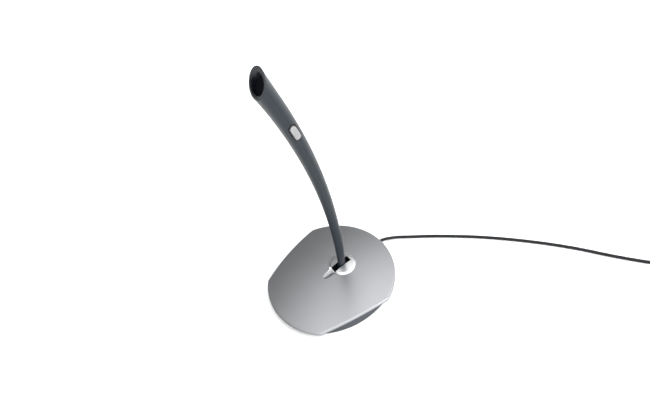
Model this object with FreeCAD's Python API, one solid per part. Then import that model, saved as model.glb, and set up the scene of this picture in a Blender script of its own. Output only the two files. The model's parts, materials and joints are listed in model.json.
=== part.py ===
import FreeCAD, Part
import math
import os
from FreeCAD import Vector

# Desktop stalk microphone: flat domed base, tilting curved stalk, slide switch, 3.5 mm lead.
# Millimetres. +Z is up, +Y points to the back where the lead leaves, +X is the switch side.
# The origin is on the table, under the centre of the base.

# ---- base: plan and dome ----
BASE_RADIUS = 55.0          # front and back arcs of the cover
CORNER_FRONT_ANGLE = 42.0   # a side cut starts here, measured from the front
CORNER_BACK_ANGLE = 111.5   # and ends here
SIDE_BULGE = 2.1            # how far the cover's side edge bows out from its chord
DOME_TOP = 12.0             # height of the dome over the origin
RIM_TOP = 7.3               # height of the dome where it meets the rim circle
COVER_EDGE_RADIUS = 1.5     # rounding all round the cover's top edge
COVER_WALL = 1.8
EDGE_LIMIT = 0.95           # the rounding takes at most this share of the wall
EDGE_MATCH = 0.01           # an edge this close to the dome lies on it
LIP_WIDTH = 1.8
LIP_DROP = 0.25             # how far the cover's lip hangs below its underside

# ---- lower housing ----
HOUSING_BOTTOM = 1.0        # the feet lift it this far off the table
FLOOR_THICKNESS = 1.6
HOUSING_WALL = 1.6
HOUSING_UNDERCUT = 4.2      # how far the housing wall stands in from the cover's rim
SEAT_GAP = 0.05             # between the wall's top and the cover's underside
FLANK_OUT = 1.7             # how far the flank's foot stands out past the cover's side edge
FLANK_INSET = 0.3           # how far the flank's top sits in from the cover's side edge

# ---- feet, ballast, case screws ----
FOOT_RADIUS = 5.0
FOOT_RECESS = 0.5
FOOT_INSET = 11.0           # from the rim to the middle of a foot
FOOT_ANGLES = (24.0, 141.0)
BALLAST_INSET = 12.0        # from the rim to the ballast plate
BALLAST_THICKNESS = 2.8
POST_CLEARANCE = 0.4
CASE_SCREW_SPOTS = ((17.8, 53.7), (15.4, 133.0))    # inset from the rim, angle from the front
BALLAST_SCREW_SPOT = (21.9, 25.0)                   # inset from the rim, angle from the front
CASE_SCREW_RADIUS = 1.1
CASE_SCREW_LENGTH = 5.0
SCREW_HEAD_RADIUS = 2.1
SCREW_HEAD_HEIGHT = 1.2
SCREW_HEAD_CLEARANCE = 0.2
SMALL_SCREW_RADIUS = 1.0
SMALL_SCREW_BITE = 1.0      # how far a small screw goes into the floor below its grip
SCREW_SLOT_WIDTH = 0.5
BOSS_WALL = 1.9
POST_RISE = 1.6             # height of the case screw posts above the floor

# ---- pivot ----
PIVOT_Y = 13.6
PIVOT_HEIGHT = 8.1
HUB_RADIUS = 3.2
HUB_WIDTH = 5.3
AXLE_RADIUS = 1.8
AXLE_BORE_RADIUS = 1.0
RUNNING_FIT = 0.05          # radial clearance of the axle in its bearings
WASHER_GAP = 0.1
WASHER_THICKNESS = 0.5
SPRING_THICKNESS = 0.5
WASHER_RADIUS = 2.9
EAR_THICKNESS = 1.2
EAR_RADIUS = 3.3
CLIP_GAP = 0.15
CLIP_THICKNESS = 0.6
CLIP_RADIUS = 2.8
CLIP_GROOVE_DEPTH = 0.4
CLIP_MOUTH_SHARE = 0.8      # width of the clip's mouth against the groove's diameter
AXLE_OVERHANG = 1.0
BRACKET_THICKNESS = 1.1
BRACKET_RISE = 0.8          # height of the bracket's posts above the floor
BRACKET_SCREW_REACH = 9.5
LEAD_RADIUS = 0.45
LEAD_CLEARANCE = 0.35

# ---- pivot cap and groove ----
CAP_Y = 14.4
CAP_RADIUS = 11.7
CAP_RISE = 1.8              # height of the cap's middle over the dome's
CAP_SHOULDER = 2.2          # width of the rounded shoulder
CAP_SHOULDER_RISE = 1.3     # height of the crown's edge over the dome
SHOULDER_BULGE = 0.3        # how far the shoulder bows out from its chord
CAP_WALL = 1.2
CAP_NECK_INSET = 1.1        # the neck stands in from the cap's rim
CAP_CLEARANCE = 0.2
CAP_SNAP = 0.5
SLOT_CLEARANCE = 0.3        # each side of the hub
SLOT_FRONT_REACH = 9.6      # from the pivot to the slot's front end
SLOT_BACK_REACH = 8.2
GROOVE_LENGTH = 8.0
GROOVE_RADIUS = 5.0
GROOVE_START_DEPTH = 1.3    # depth under the dome at the slot
GROOVE_END_DEPTH = 0.6      # and where its rounded end begins

# ---- stalk ----
STALK_ARC_RADIUS = 545.0
STALK_LEAN_BACK = 6.8       # degrees, at the pivot
STALK_REACH = 222.0         # along the arc, from the pivot to the centre of the mouth
MOUTH_TILT = 28.5           # degrees above level that the mouth faces
NECK_LENGTH = 7.0           # below this the neck is one piece with the hub
HEAD_LENGTH = 17.0          # behind the middle of the mouth the stalk keeps its full size this far
NECK_HALF_DEPTH = 3.6
HEAD_HALF_DEPTH = 6.95
NECK_HALF_WIDTH = 2.5
HEAD_HALF_WIDTH = 8.0
TAPER_POWER = 1.25          # above 1 the stalk widens more slowly near its foot
FLARE_LENGTH = 23.0         # the stalk flares over this length below the middle of the mouth
FLARE_DEPTH = 0.75          # growth of the half depth at the middle of the mouth
FLARE_WIDTH = 1.0           # growth of the half width there
STALK_WALL = 1.3
SEAM_WIDTH = 0.3            # groove where the stalk's two halves meet
SEAM_DEPTH = 0.25
TAPER_STEPS = 7
FLARE_STEPS = 5
MOUTH_OVERRUN = 21.0        # the form runs this far past the middle of the mouth before it is cut

# ---- mouth and capsule ----
BEZEL_WALL = 0.9
BEZEL_SETBACK = 0.4
FOAM_DEPTH = 4.5
CAPSULE_RADIUS = 4.85
CAPSULE_LENGTH = 5.2
CAPSULE_SETBACK = 23.0      # along the arc, from the middle of the mouth back to the middle of the capsule
CAPSULE_RIM = 0.5
SLEEVE_LENGTH = 4.0

# ---- switch ----
SWITCH_SETBACK = 47.7       # along the arc, from the middle of the mouth back to the middle of the recess
KNOB_LENGTH = 13.0
KNOB_WIDTH = 4.6
KNOB_TRAVEL = 1.8
KNOB_SIDE_GAP = 0.8
KNOB_END_GAP = 0.4
KNOB_PROUD = 0.7            # how far the knob stands out of the stalk's flank
KNOB_THICKNESS = 1.8
KNOB_RIBS = 6
KNOB_RIB_RADIUS = 0.42
FRAME_WALL = 0.5
FRAME_FLOOR = 0.6
FRAME_SETBACK = 0.05        # the frame's edge lies this far under the stalk's surface
FLOAT_GAP = 0.3             # between the knob and the recess floor
ACTUATOR_SIZE = 1.6
BOARD_THICKNESS = 1.0
BOARD_WIDTH = 7.6
BOARD_LENGTH = 30.0
REST_INSET = 3.0            # from the board's end to the middle of the rib under it
REST_THICKNESS = 1.2
SLIDER_DEPTH = 2.6
SLIDER_WIDTH = 4.0
SLIDER_LENGTH = 8.6

# ---- lead inside the base ----
CORD_DIAMETER = 2.6
EXIT_HEIGHT = 3.6
GLAND_WALL = 0.5
GLAND_TIP = 2.7             # how far the strain relief stands out of the housing wall
GLAND_INSIDE = 5.0
GLAND_FLANGE = 1.2
HOLE_CLEARANCE = 0.1
CLAMP_INSET = 19.0          # from the rim to the middle of the clamp
CLAMP_LENGTH = 14.0
CLAMP_WIDTH = 5.0
CLAMP_THICKNESS = 1.1
CLAMP_SCREW_REACH = 4.6
STUB_GAP = 3.6              # from the bracket to the jacketed end

# ---- free lead ----
CORD_ROUTE = (              # x, distance behind the strain relief's tip, and z
    (1.0, 4.5, 3.4),
    (2.8, 9.0, 2.6),
    (7.2, 16.0, 1.7),
    (14.5, 23.5, 1.4),
    (31.0, 40.5, 1.4),
    (66.0, 71.5, 1.4),
    (113.2, 104.5, 1.4),
    (156.7, 127.1, 1.4),
    (193.66, 151.08, 1.95),
)
ARC_SHARE = 0.45            # share of the shorter run that an arc takes from each run
COIL_SPOT = (183.0, 167.5)  # x and distance behind the strain relief's tip
COIL_MEAN_RADIUS = 15.6
COIL_COLUMNS = 4
COIL_LAYERS = 4
COIL_PITCH = 2.65
COIL_FLOOR = 0.65
TIE_WIDTH = 4.0
TIE_THICKNESS = 0.6
TIE_ANGLE = 170.0
TAIL_ANGLE = 35.7           # where the tail leaves the coil's top layer
TAIL_ROUTE = ((0.0, 0.0), (8.0, -0.4), (17.0, -3.6), (25.0, -5.5))

# ---- plug ----
PLUG_BODY_RADIUS = 4.3
PLUG_BODY_LENGTH = 20.0
PLUG_RELIEF_LENGTH = 9.0
PLUG_RELIEF_RADIUS = 2.6
PLUG_RELIEF_WALL = 0.2      # where the strain relief begins on the lead
PLUG_COLLAR_LENGTH = 1.2
PLUG_COLLAR_RADIUS = 3.2
JACK_RADIUS = 1.75
JACK_SLEEVE_LENGTH = 6.2
JACK_RING_LENGTH = 1.9
JACK_INSULATOR_LENGTH = 0.7
JACK_TIP_LENGTH = 3.6
JACK_TIP_FORM = ((0.0, 1.0), (0.15, 1.0), (0.4, 0.66), (0.6, 0.95), (1.0, 0.33))   # length, radius shares

Z_AXIS = Vector(0, 0, 1)
X_AXIS = Vector(1, 0, 0)
Y_AXIS = Vector(0, 1, 0)
FAR = 300.0                 # larger than the object, for half-space cutters
SEAM_ANGLE = -80.0          # keeps the dome's seam off the side cuts and the slot
FLOOR_TOP = HOUSING_BOTTOM + FLOOR_THICKNESS
CAPSULE_DISTANCE = STALK_REACH - CAPSULE_SETBACK    # these distances are along the arc, from the pivot
SWITCH_DISTANCE = STALK_REACH - SWITCH_SETBACK
TAPER_LENGTH = STALK_REACH - HEAD_LENGTH
CLAMP_Y = BASE_RADIUS - CLAMP_INSET
CAP_NECK_RADIUS = CAP_RADIUS - CAP_NECK_INSET
BRACKET_HALF_LENGTH = BRACKET_SCREW_REACH + SCREW_HEAD_RADIUS + SCREW_HEAD_CLEARANCE
STUB_INNER_Y = PIVOT_Y + BRACKET_HALF_LENGTH + STUB_GAP
SIDE_NORMAL_ANGLE = (CORNER_FRONT_ANGLE + CORNER_BACK_ANGLE) / 2
SIDE_HALF_ANGLE = math.radians(CORNER_BACK_ANGLE - CORNER_FRONT_ANGLE) / 2
SIDE_CHORD_REACH = BASE_RADIUS * math.cos(SIDE_HALF_ANGLE)
SIDE_REACH = SIDE_CHORD_REACH + SIDE_BULGE
HOUSING_RADIUS = BASE_RADIUS - HOUSING_UNDERCUT
GLAND_TIP_Y = HOUSING_RADIUS + GLAND_TIP
COIL_CENTRE = (COIL_SPOT[0], GLAND_TIP_Y + COIL_SPOT[1])
DOME_SPHERE_RADIUS = (BASE_RADIUS ** 2 + (DOME_TOP - RIM_TOP) ** 2) / (2 * (DOME_TOP - RIM_TOP))
DOME_CENTRE_Z = DOME_TOP - DOME_SPHERE_RADIUS
PIVOT = Vector(0, PIVOT_Y, PIVOT_HEIGHT)
WASHER_START = HUB_WIDTH / 2 + WASHER_GAP
EAR_INNER = WASHER_START + WASHER_THICKNESS + SPRING_THICKNESS
EAR_OUTER = EAR_INNER + EAR_THICKNESS
CLIP_START = EAR_OUTER + CLIP_GAP
AXLE_HALF_LENGTH = CLIP_START + CLIP_THICKNESS + AXLE_OVERHANG
CORD_RADIUS = CORD_DIAMETER / 2
GLAND_RADIUS = CORD_RADIUS + GLAND_WALL
CASE_POST_RADIUS = SCREW_HEAD_RADIUS + BOSS_WALL
SMALL_POST_RADIUS = SMALL_SCREW_RADIUS + BOSS_WALL


def cylinder(radius, height, base, axis=Z_AXIS):
    return Part.makeCylinder(radius, height, base, axis)


def box(low, high):
    size = high.sub(low)
    return Part.makeBox(size.x, size.y, size.z, low)


def ring(outer, inner, height, base, axis=Z_AXIS):
    return cylinder(outer, height, base, axis).cut(cylinder(inner, height, base, axis))


def join(first, *others):
    shape = first
    for other in others:
        shape = shape.fuse(other)
    return shape.removeSplitter()


def group(shapes):
    return Part.makeCompound(list(shapes))


def export(name, shape):
    solids = shape.Solids
    if not solids or not all(solid.isValid() and solid.isClosed() for solid in solids):
        raise ValueError(name + " is not a closed valid solid")
    result = solids[0] if len(solids) == 1 else group(solids)
    result.exportStep(os.path.join("parts", name + ".step"))
    print(name, len(solids), round(sum(solid.Volume for solid in solids), 1))


def revolved(edges, axis=Z_AXIS, origin=Vector(0, 0, 0)):
    return Part.Face(Part.Wire(edges)).revolve(origin, axis, 360)


def line(start, end):
    return Part.LineSegment(start, end).toShape()


def arc(start, middle, end):
    return Part.Arc(start, middle, end).toShape()


def profile(points):
    """Closed outline in the XZ plane from (radius, height) pairs."""
    corners = [Vector(radius, 0, height) for radius, height in points]
    return [line(a, b) for a, b in zip(corners, corners[1:] + corners[:1])]


# ---------------------------------------------------------------- base

def dome_height(radius, depth=0.0):
    """Height of the dome, or of the surface a depth below it, at a distance from the Z axis."""
    return DOME_CENTRE_Z + math.sqrt((DOME_SPHERE_RADIUS - depth) ** 2 - radius ** 2)


def side_direction(side):
    angle = math.radians(SIDE_NORMAL_ANGLE)
    return Vector(side * math.sin(angle), -math.cos(angle), 0)


def side_arc_radius(reach, rim_radius):
    """Radius of the arc through a side's two corners on the rim circle and a middle at reach."""
    half_chord = rim_radius * math.sin(SIDE_HALF_ANGLE)
    sagitta = reach - rim_radius * math.cos(SIDE_HALF_ANGLE)
    return (half_chord ** 2 + sagitta ** 2) / (2 * sagitta)


def side_limits(shape):
    """Cut the two flattened sides of the cover."""
    radius = side_arc_radius(SIDE_REACH, BASE_RADIUS)
    for side in (-1, 1):
        centre = side_direction(side).multiply(SIDE_REACH - radius)
        shape = shape.common(cylinder(radius, 2 * DOME_TOP, centre))
    return shape


def to_cap(shape):
    """Carry a shape from over the origin to the pivot cap's place, square to the dome."""
    moved = shape.copy()
    tilt = math.degrees(math.asin(CAP_Y / DOME_SPHERE_RADIUS))
    moved.rotate(Vector(0, 0, DOME_CENTRE_Z), X_AXIS, -tilt)
    return moved


def groove_cutter():
    """Trough that runs forward from the slot, grows shallower and ends rounded."""
    start_y = PIVOT_Y - SLOT_FRONT_REACH
    end_y = start_y - GROOVE_LENGTH
    start = Vector(0, start_y, dome_height(abs(start_y)) + GROOVE_RADIUS - GROOVE_START_DEPTH)
    end = Vector(0, end_y, dome_height(abs(end_y)) + GROOVE_RADIUS - GROOVE_END_DEPTH)
    run = end.sub(start)
    back = Vector(-CAP_WALL, 0, 0)
    back_top = Vector(-CAP_WALL, 0, GROOVE_RADIUS)
    front_top = Vector(run.Length, 0, GROOVE_RADIUS)
    diagonal = GROOVE_RADIUS * math.sqrt(0.5)
    bend = Vector(run.Length + diagonal, 0, diagonal)
    tip = Vector(run.Length + GROOVE_RADIUS, 0, 0)
    edges = [line(back, back_top), line(back_top, front_top), arc(front_top, bend, tip), line(tip, back)]
    trough = revolved(edges, X_AXIS)
    trough.rotate(Vector(0, 0, 0), Z_AXIS, -90)
    trough.rotate(Vector(0, 0, 0), X_AXIS, -math.degrees(math.atan2(run.z, -run.y)))
    return trough.translated(start)


def rim_spot(side, inset, angle):
    """Place at an inset from the rim and an angle from the front, as x and y."""
    turn = math.radians(angle)
    reach = BASE_RADIUS - inset
    return side * reach * math.sin(turn), -reach * math.cos(turn)


def case_screw_spots():
    return [rim_spot(side, inset, angle) for side in (-1, 1) for inset, angle in CASE_SCREW_SPOTS]


def ballast_screw_spots():
    return [rim_spot(side, *BALLAST_SCREW_SPOT) for side in (-1, 1)]


def cord_hole():
    """Round hole through the housing wall for the strain relief."""
    start = Vector(0, HOUSING_RADIUS - GLAND_INSIDE, EXIT_HEIGHT)
    return cylinder(GLAND_RADIUS + HOLE_CLEARANCE, 2 * GLAND_INSIDE, start, Y_AXIS)


def base_cover():
    inner_r = BASE_RADIUS - LIP_WIDTH
    middle = BASE_RADIUS / 2
    top = Vector(0, 0, DOME_TOP)
    rim = Vector(BASE_RADIUS, 0, RIM_TOP)
    inner_edge = Vector(inner_r, 0, dome_height(inner_r, COVER_WALL))
    lip_z = inner_edge.z - LIP_DROP
    inner_top = Vector(0, 0, DOME_TOP - COVER_WALL)
    shell = revolved([
        arc(top, Vector(middle, 0, dome_height(middle)), rim),
        line(rim, Vector(BASE_RADIUS, 0, lip_z)),
        line(Vector(BASE_RADIUS, 0, lip_z), Vector(inner_r, 0, lip_z)),
        line(Vector(inner_r, 0, lip_z), inner_edge),
        arc(inner_edge, Vector(middle, 0, dome_height(middle, COVER_WALL)), inner_top),
        line(inner_top, top),
    ])
    shell.rotate(Vector(0, 0, 0), Z_AXIS, SEAM_ANGLE)
    shell = side_limits(shell)
    shell = shell.makeFillet(min(COVER_EDGE_RADIUS, EDGE_LIMIT * COVER_WALL), cover_top_edges(shell))
    for x, y in case_screw_spots():
        shell = shell.fuse(cover_boss(x, y)).cut(case_screw_hole(x, y))
    shell = shell.removeSplitter()
    hole = cylinder(CAP_NECK_RADIUS + CAP_CLEARANCE, 2 * DOME_TOP, Vector(0, 0, -DOME_TOP / 2))
    return shell.cut(to_cap(hole)).cut(groove_cutter())


def cover_top_edges(shell):
    """Edges where the dome meets the rim and the side cuts."""
    edges = []
    for edge in shell.Edges:
        middle = edge.valueAt((edge.FirstParameter + edge.LastParameter) / 2)
        reach = math.hypot(middle.x, middle.y)
        if reach > SIDE_CHORD_REACH and abs(middle.z - dome_height(reach)) < EDGE_MATCH:
            edges.append(edge)
    return edges


def cover_boss(x, y):
    """Screw boss that hangs from the cover onto a housing post."""
    reach = math.hypot(x, y)
    radius = CASE_SCREW_RADIUS + BOSS_WALL
    bottom = FLOOR_TOP + POST_RISE
    return cylinder(radius, dome_height(reach, COVER_WALL / 2) - bottom, Vector(x, y, bottom))


def case_screw_hole(x, y):
    depth = SCREW_HEAD_HEIGHT + CASE_SCREW_LENGTH
    return cylinder(CASE_SCREW_RADIUS, depth, Vector(x, y, HOUSING_BOTTOM))


def housing_form(inset, bottom):
    """Solid inside the cover: round wall, two sloping flanks, top on the cover's underside."""
    rim = HOUSING_RADIUS - inset
    low_reach = SIDE_REACH + FLANK_OUT
    high_reach = SIDE_REACH - FLANK_INSET
    high_z = dome_height(SIDE_REACH, COVER_WALL)
    slope = (low_reach - high_reach) / (high_z - HOUSING_BOTTOM)
    low_radius = side_arc_radius(low_reach, HOUSING_RADIUS)
    centre_reach = low_reach - low_radius
    form = cylinder(rim, 2 * DOME_TOP, Vector(0, 0, bottom))
    for side in (-1, 1):
        centre = side_direction(side).multiply(centre_reach).add(Vector(0, 0, HOUSING_BOTTOM))
        cone = Part.makeCone(low_radius - inset, low_radius - inset - slope * DOME_TOP, DOME_TOP, centre)
        form = form.common(cone)
    below = Part.makeSphere(DOME_SPHERE_RADIUS - COVER_WALL - SEAT_GAP, Vector(0, 0, DOME_CENTRE_Z))
    return form.common(below)


def floor_posts():
    """Screw posts that stand on the housing floor."""
    posts = []
    for x, y in case_screw_spots():
        height = FLOOR_THICKNESS + POST_RISE
        posts.append(cylinder(CASE_POST_RADIUS, height, Vector(x, y, HOUSING_BOTTOM)))
    for y in bracket_screw_ys():
        height = FLOOR_THICKNESS + BRACKET_RISE
        posts.append(cylinder(SMALL_POST_RADIUS, height, Vector(0, y, HOUSING_BOTTOM)))
    for x, y in clamp_screw_spots():
        height = EXIT_HEIGHT + CORD_RADIUS - HOUSING_BOTTOM
        posts.append(cylinder(SMALL_POST_RADIUS, height, Vector(x, y, HOUSING_BOTTOM)))
    return posts


def lower_housing():
    """Dark tray: floor, wall and flanks, with posts, screw holes, foot recesses and the lead's channel."""
    shell = housing_form(0.0, HOUSING_BOTTOM)
    shell = shell.cut(housing_form(HOUSING_WALL, FLOOR_TOP))
    for post in floor_posts():
        shell = shell.fuse(post)
    shell = shell.removeSplitter()
    for x, y in case_screw_spots():
        base = Vector(x, y, HOUSING_BOTTOM)
        shell = shell.cut(cylinder(SCREW_HEAD_RADIUS + SCREW_HEAD_CLEARANCE, SCREW_HEAD_HEIGHT, base))
        shell = shell.cut(cylinder(CASE_SCREW_RADIUS, FLOOR_THICKNESS + POST_RISE, base))
    for screws in small_screws():
        shell = shell.cut(screws)
    for x, y in foot_spots():
        shell = shell.cut(cylinder(FOOT_RADIUS, FOOT_RECESS, Vector(x, y, HOUSING_BOTTOM)))
    channel_start = Vector(0, STUB_INNER_Y - CORD_DIAMETER, EXIT_HEIGHT)
    channel = cylinder(CORD_RADIUS + HOLE_CLEARANCE, BASE_RADIUS, channel_start, Y_AXIS)
    return shell.cut(channel).cut(cord_hole())


def foot_spots():
    return [rim_spot(side, FOOT_INSET, angle) for side in (-1, 1) for angle in FOOT_ANGLES]


def rubber_feet():
    height = HOUSING_BOTTOM + FOOT_RECESS
    feet = [cylinder(FOOT_RADIUS, height, Vector(x, y, 0)) for x, y in foot_spots()]
    return group(feet)


def ballast_plate():
    """Steel weight in the front of the base, with room round the screw posts."""
    plate = cylinder(BASE_RADIUS - BALLAST_INSET, BALLAST_THICKNESS, Vector(0, 0, FLOOR_TOP))
    side = HOUSING_RADIUS * math.cos(SIDE_HALF_ANGLE) - HOUSING_WALL
    half_width = side - POST_CLEARANCE
    top = FLOOR_TOP + BALLAST_THICKNESS
    back = bracket_screw_ys()[0] - SMALL_POST_RADIUS - POST_CLEARANCE
    plate = plate.common(box(Vector(-half_width, -BASE_RADIUS, FLOOR_TOP), Vector(half_width, back, top)))
    hole_radius = CASE_POST_RADIUS + POST_CLEARANCE
    for x, y in case_screw_spots():
        plate = plate.cut(cylinder(hole_radius, BALLAST_THICKNESS, Vector(x, y, FLOOR_TOP)))
    return plate.cut(small_screw_group("ballast_screws"))


def screw(radius, length, head_top, down):
    """Pan-head screw on the Z axis at head_top; down is -1 for one driven downwards."""
    start = Vector(0, 0, head_top)
    axis = Vector(0, 0, down)
    head = cylinder(SCREW_HEAD_RADIUS, SCREW_HEAD_HEIGHT, start, axis)
    shank_start = start.add(Vector(0, 0, down * SCREW_HEAD_HEIGHT))
    body = head.fuse(cylinder(radius, length, shank_start, axis)).removeSplitter()
    half = SCREW_SLOT_WIDTH / 2
    reach = SCREW_HEAD_RADIUS
    low_z = min(head_top, head_top + down * SCREW_HEAD_HEIGHT / 2)
    high_z = max(head_top, head_top + down * SCREW_HEAD_HEIGHT / 2)
    body = body.cut(box(Vector(-half, -reach, low_z), Vector(half, reach, high_z)))
    return body.cut(box(Vector(-reach, -half, low_z), Vector(reach, half, high_z)))


def screws_at(spots, radius, length, head_top, down):
    screws = []
    for x, y in spots:
        screws.append(screw(radius, length, head_top, down).translated(Vector(x, y, 0)))
    return group(screws)


def case_screws():
    return screws_at(case_screw_spots(), CASE_SCREW_RADIUS, CASE_SCREW_LENGTH, HOUSING_BOTTOM, 1)


def clamp_screw_spots():
    return [(side * CLAMP_SCREW_REACH, CLAMP_Y) for side in (-1, 1)]


def bracket_screw_ys():
    return [PIVOT_Y - BRACKET_SCREW_REACH, PIVOT_Y + BRACKET_SCREW_REACH]


def small_screw_sets():
    """Spots and head tops of the screws driven down into the housing floor."""
    bracket_top = FLOOR_TOP + BRACKET_RISE + BRACKET_THICKNESS + SCREW_HEAD_HEIGHT
    ballast_top = FLOOR_TOP + BALLAST_THICKNESS + SCREW_HEAD_HEIGHT
    clamp_top = EXIT_HEIGHT + CORD_RADIUS + CLAMP_THICKNESS + SCREW_HEAD_HEIGHT
    bracket_spots = [(0.0, y) for y in bracket_screw_ys()]
    return {
        "bracket_screws": (bracket_spots, bracket_top),
        "ballast_screws": (ballast_screw_spots(), ballast_top),
        "clamp_screws": (clamp_screw_spots(), clamp_top),
    }


def small_screw_group(name):
    spots, head_top = small_screw_sets()[name]
    length = head_top - SCREW_HEAD_HEIGHT - FLOOR_TOP + SMALL_SCREW_BITE
    return screws_at(spots, SMALL_SCREW_RADIUS, length, head_top, -1)


def small_screws():
    return [small_screw_group(name) for name in small_screw_sets()]


# ---------------------------------------------------------------- pivot

def pivot_cap():
    """Low cap with a rounded shoulder and a snap-in neck, slotted for the stalk."""
    neck_bottom = DOME_TOP - COVER_WALL - CAP_CLEARANCE
    snap_radius = CAP_NECK_RADIUS + CAP_SNAP
    inner_radius = CAP_NECK_RADIUS - CAP_WALL
    crown_radius = CAP_RADIUS - CAP_SHOULDER
    crown_edge = Vector(crown_radius, 0, dome_height(crown_radius) + CAP_SHOULDER_RISE)
    top = Vector(0, 0, DOME_TOP + CAP_RISE)
    rim = Vector(CAP_RADIUS, 0, dome_height(CAP_RADIUS))
    sphere = (crown_radius ** 2 + (top.z - crown_edge.z) ** 2) / (2 * (top.z - crown_edge.z))

    def height(radius, depth):
        return top.z - sphere + math.sqrt((sphere - depth) ** 2 - radius ** 2)

    shoulder = rim.sub(crown_edge)
    outward = Vector(-shoulder.z, 0, shoulder.x).normalize().multiply(SHOULDER_BULGE)
    shoulder_middle = crown_edge.add(rim).multiply(0.5).add(outward)
    crown_middle = Vector(crown_radius / 2, 0, height(crown_radius / 2, 0))
    inner_rim = Vector(inner_radius, 0, height(inner_radius, CAP_WALL))
    inner_middle = Vector(inner_radius / 2, 0, height(inner_radius / 2, CAP_WALL))
    inner_top = Vector(0, 0, height(0, CAP_WALL))
    stations = [
        rim,
        Vector(CAP_NECK_RADIUS, 0, dome_height(CAP_NECK_RADIUS)),
        Vector(CAP_NECK_RADIUS, 0, neck_bottom),
        Vector(snap_radius, 0, neck_bottom),
        Vector(CAP_NECK_RADIUS, 0, neck_bottom - CAP_SNAP),
        Vector(inner_radius, 0, neck_bottom - CAP_SNAP),
        inner_rim,
    ]
    edges = [arc(top, crown_middle, crown_edge), arc(crown_edge, shoulder_middle, rim)]
    edges += [line(a, b) for a, b in zip(stations, stations[1:])]
    edges += [arc(inner_rim, inner_middle, inner_top), line(inner_top, top)]
    cap = to_cap(revolved(edges))
    half = HUB_WIDTH / 2 + SLOT_CLEARANCE
    slot_low = Vector(-half, PIVOT_Y - SLOT_FRONT_REACH, DOME_TOP - COVER_WALL)
    slot_high = Vector(half, PIVOT_Y + SLOT_BACK_REACH, DOME_TOP + 2 * CAP_RISE)
    return cap.cut(box(slot_low, slot_high)).cut(groove_cutter())


def pivot_bracket():
    """Folded steel plate with two bearing ears."""
    bottom = FLOOR_TOP + BRACKET_RISE
    low = Vector(-EAR_OUTER, PIVOT_Y - BRACKET_HALF_LENGTH, bottom)
    high = Vector(EAR_OUTER, PIVOT_Y + BRACKET_HALF_LENGTH, bottom + BRACKET_THICKNESS)
    bracket = box(low, high)
    for side in (-1, 1):
        inner = side * EAR_INNER
        outer = side * EAR_OUTER
        web_low = Vector(min(inner, outer), PIVOT_Y - EAR_RADIUS, bottom)
        web_high = Vector(max(inner, outer), PIVOT_Y + EAR_RADIUS, PIVOT_HEIGHT)
        head = cylinder(EAR_RADIUS, EAR_THICKNESS, Vector(web_low.x, PIVOT_Y, PIVOT_HEIGHT), X_AXIS)
        bracket = bracket.fuse(box(web_low, web_high)).fuse(head)
    bracket = bracket.removeSplitter()
    bore_start = Vector(-EAR_OUTER, PIVOT_Y, PIVOT_HEIGHT)
    bore = cylinder(AXLE_RADIUS + RUNNING_FIT, 2 * EAR_OUTER, bore_start, X_AXIS)
    return bracket.cut(small_screw_group("bracket_screws")).cut(bore)


def along_pivot(shape):
    """Carry a shape built along +Z over the origin to both sides of the hub, along the pivot."""
    pair = []
    for side in (-1, 1):
        moved = shape.copy()
        moved.rotate(Vector(0, 0, 0), Y_AXIS, side * 90)
        pair.append(moved.translated(PIVOT))
    return group(pair)


def friction_washers():
    bore = AXLE_RADIUS + RUNNING_FIT
    return along_pivot(ring(WASHER_RADIUS, bore, WASHER_THICKNESS, Vector(0, 0, WASHER_START)))


def cone_springs():
    """Dished spring washers between the friction washers and the ears."""
    bore = AXLE_RADIUS + RUNNING_FIT
    start = WASHER_START + WASHER_THICKNESS
    sheet = SPRING_THICKNESS / 2
    end = start + SPRING_THICKNESS
    disc = revolved(profile([
        (bore, end - sheet),
        (bore, end),
        (WASHER_RADIUS, start + sheet),
        (WASHER_RADIUS, start),
    ]))
    return along_pivot(disc)


def axle_clips():
    inner = AXLE_RADIUS - CLIP_GROOVE_DEPTH
    clip = ring(CLIP_RADIUS, inner, CLIP_THICKNESS, Vector(0, 0, CLIP_START))
    half = inner * CLIP_MOUTH_SHARE
    gap = box(Vector(-CLIP_RADIUS, -half, CLIP_START), Vector(0, half, CLIP_START + CLIP_THICKNESS))
    return along_pivot(clip.cut(gap))


def pivot_axle():
    """Hollow axle: the lead drops in through a hole in its middle and leaves at its +X end."""
    start = Vector(-AXLE_HALF_LENGTH, 0, 0)
    axle = ring(AXLE_RADIUS, AXLE_BORE_RADIUS, 2 * AXLE_HALF_LENGTH, start, X_AXIS)
    for side in (-1, 1):
        base = Vector(side * CLIP_START + min(side, 0) * CLIP_THICKNESS, 0, 0)
        groove = ring(2 * AXLE_RADIUS, AXLE_RADIUS - CLIP_GROOVE_DEPTH, CLIP_THICKNESS, base, X_AXIS)
        axle = axle.cut(groove)
    axle = axle.cut(cylinder(LEAD_RADIUS + LEAD_CLEARANCE, 2 * AXLE_RADIUS, Vector(0, 0, 0)))
    return on_stalk(axle, 0.0)


# ---------------------------------------------------------------- stalk

def lean(distance):
    """Angle in degrees that the centreline leans forward, at a distance from the pivot."""
    return math.degrees(distance / STALK_ARC_RADIUS) - STALK_LEAN_BACK


def centreline(distance):
    start = math.radians(-STALK_LEAN_BACK)
    here = math.radians(lean(distance))
    y = PIVOT_Y + STALK_ARC_RADIUS * (math.cos(here) - math.cos(start))
    z = PIVOT_HEIGHT + STALK_ARC_RADIUS * (math.sin(here) - math.sin(start))
    return Vector(0, y, z)


def on_stalk(shape, distance):
    """Carry a shape built round the origin, +Z along the stalk and -Y to its front, to its place."""
    moved = shape.copy()
    moved.rotate(Vector(0, 0, 0), X_AXIS, lean(distance))
    return moved.translated(centreline(distance))


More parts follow.
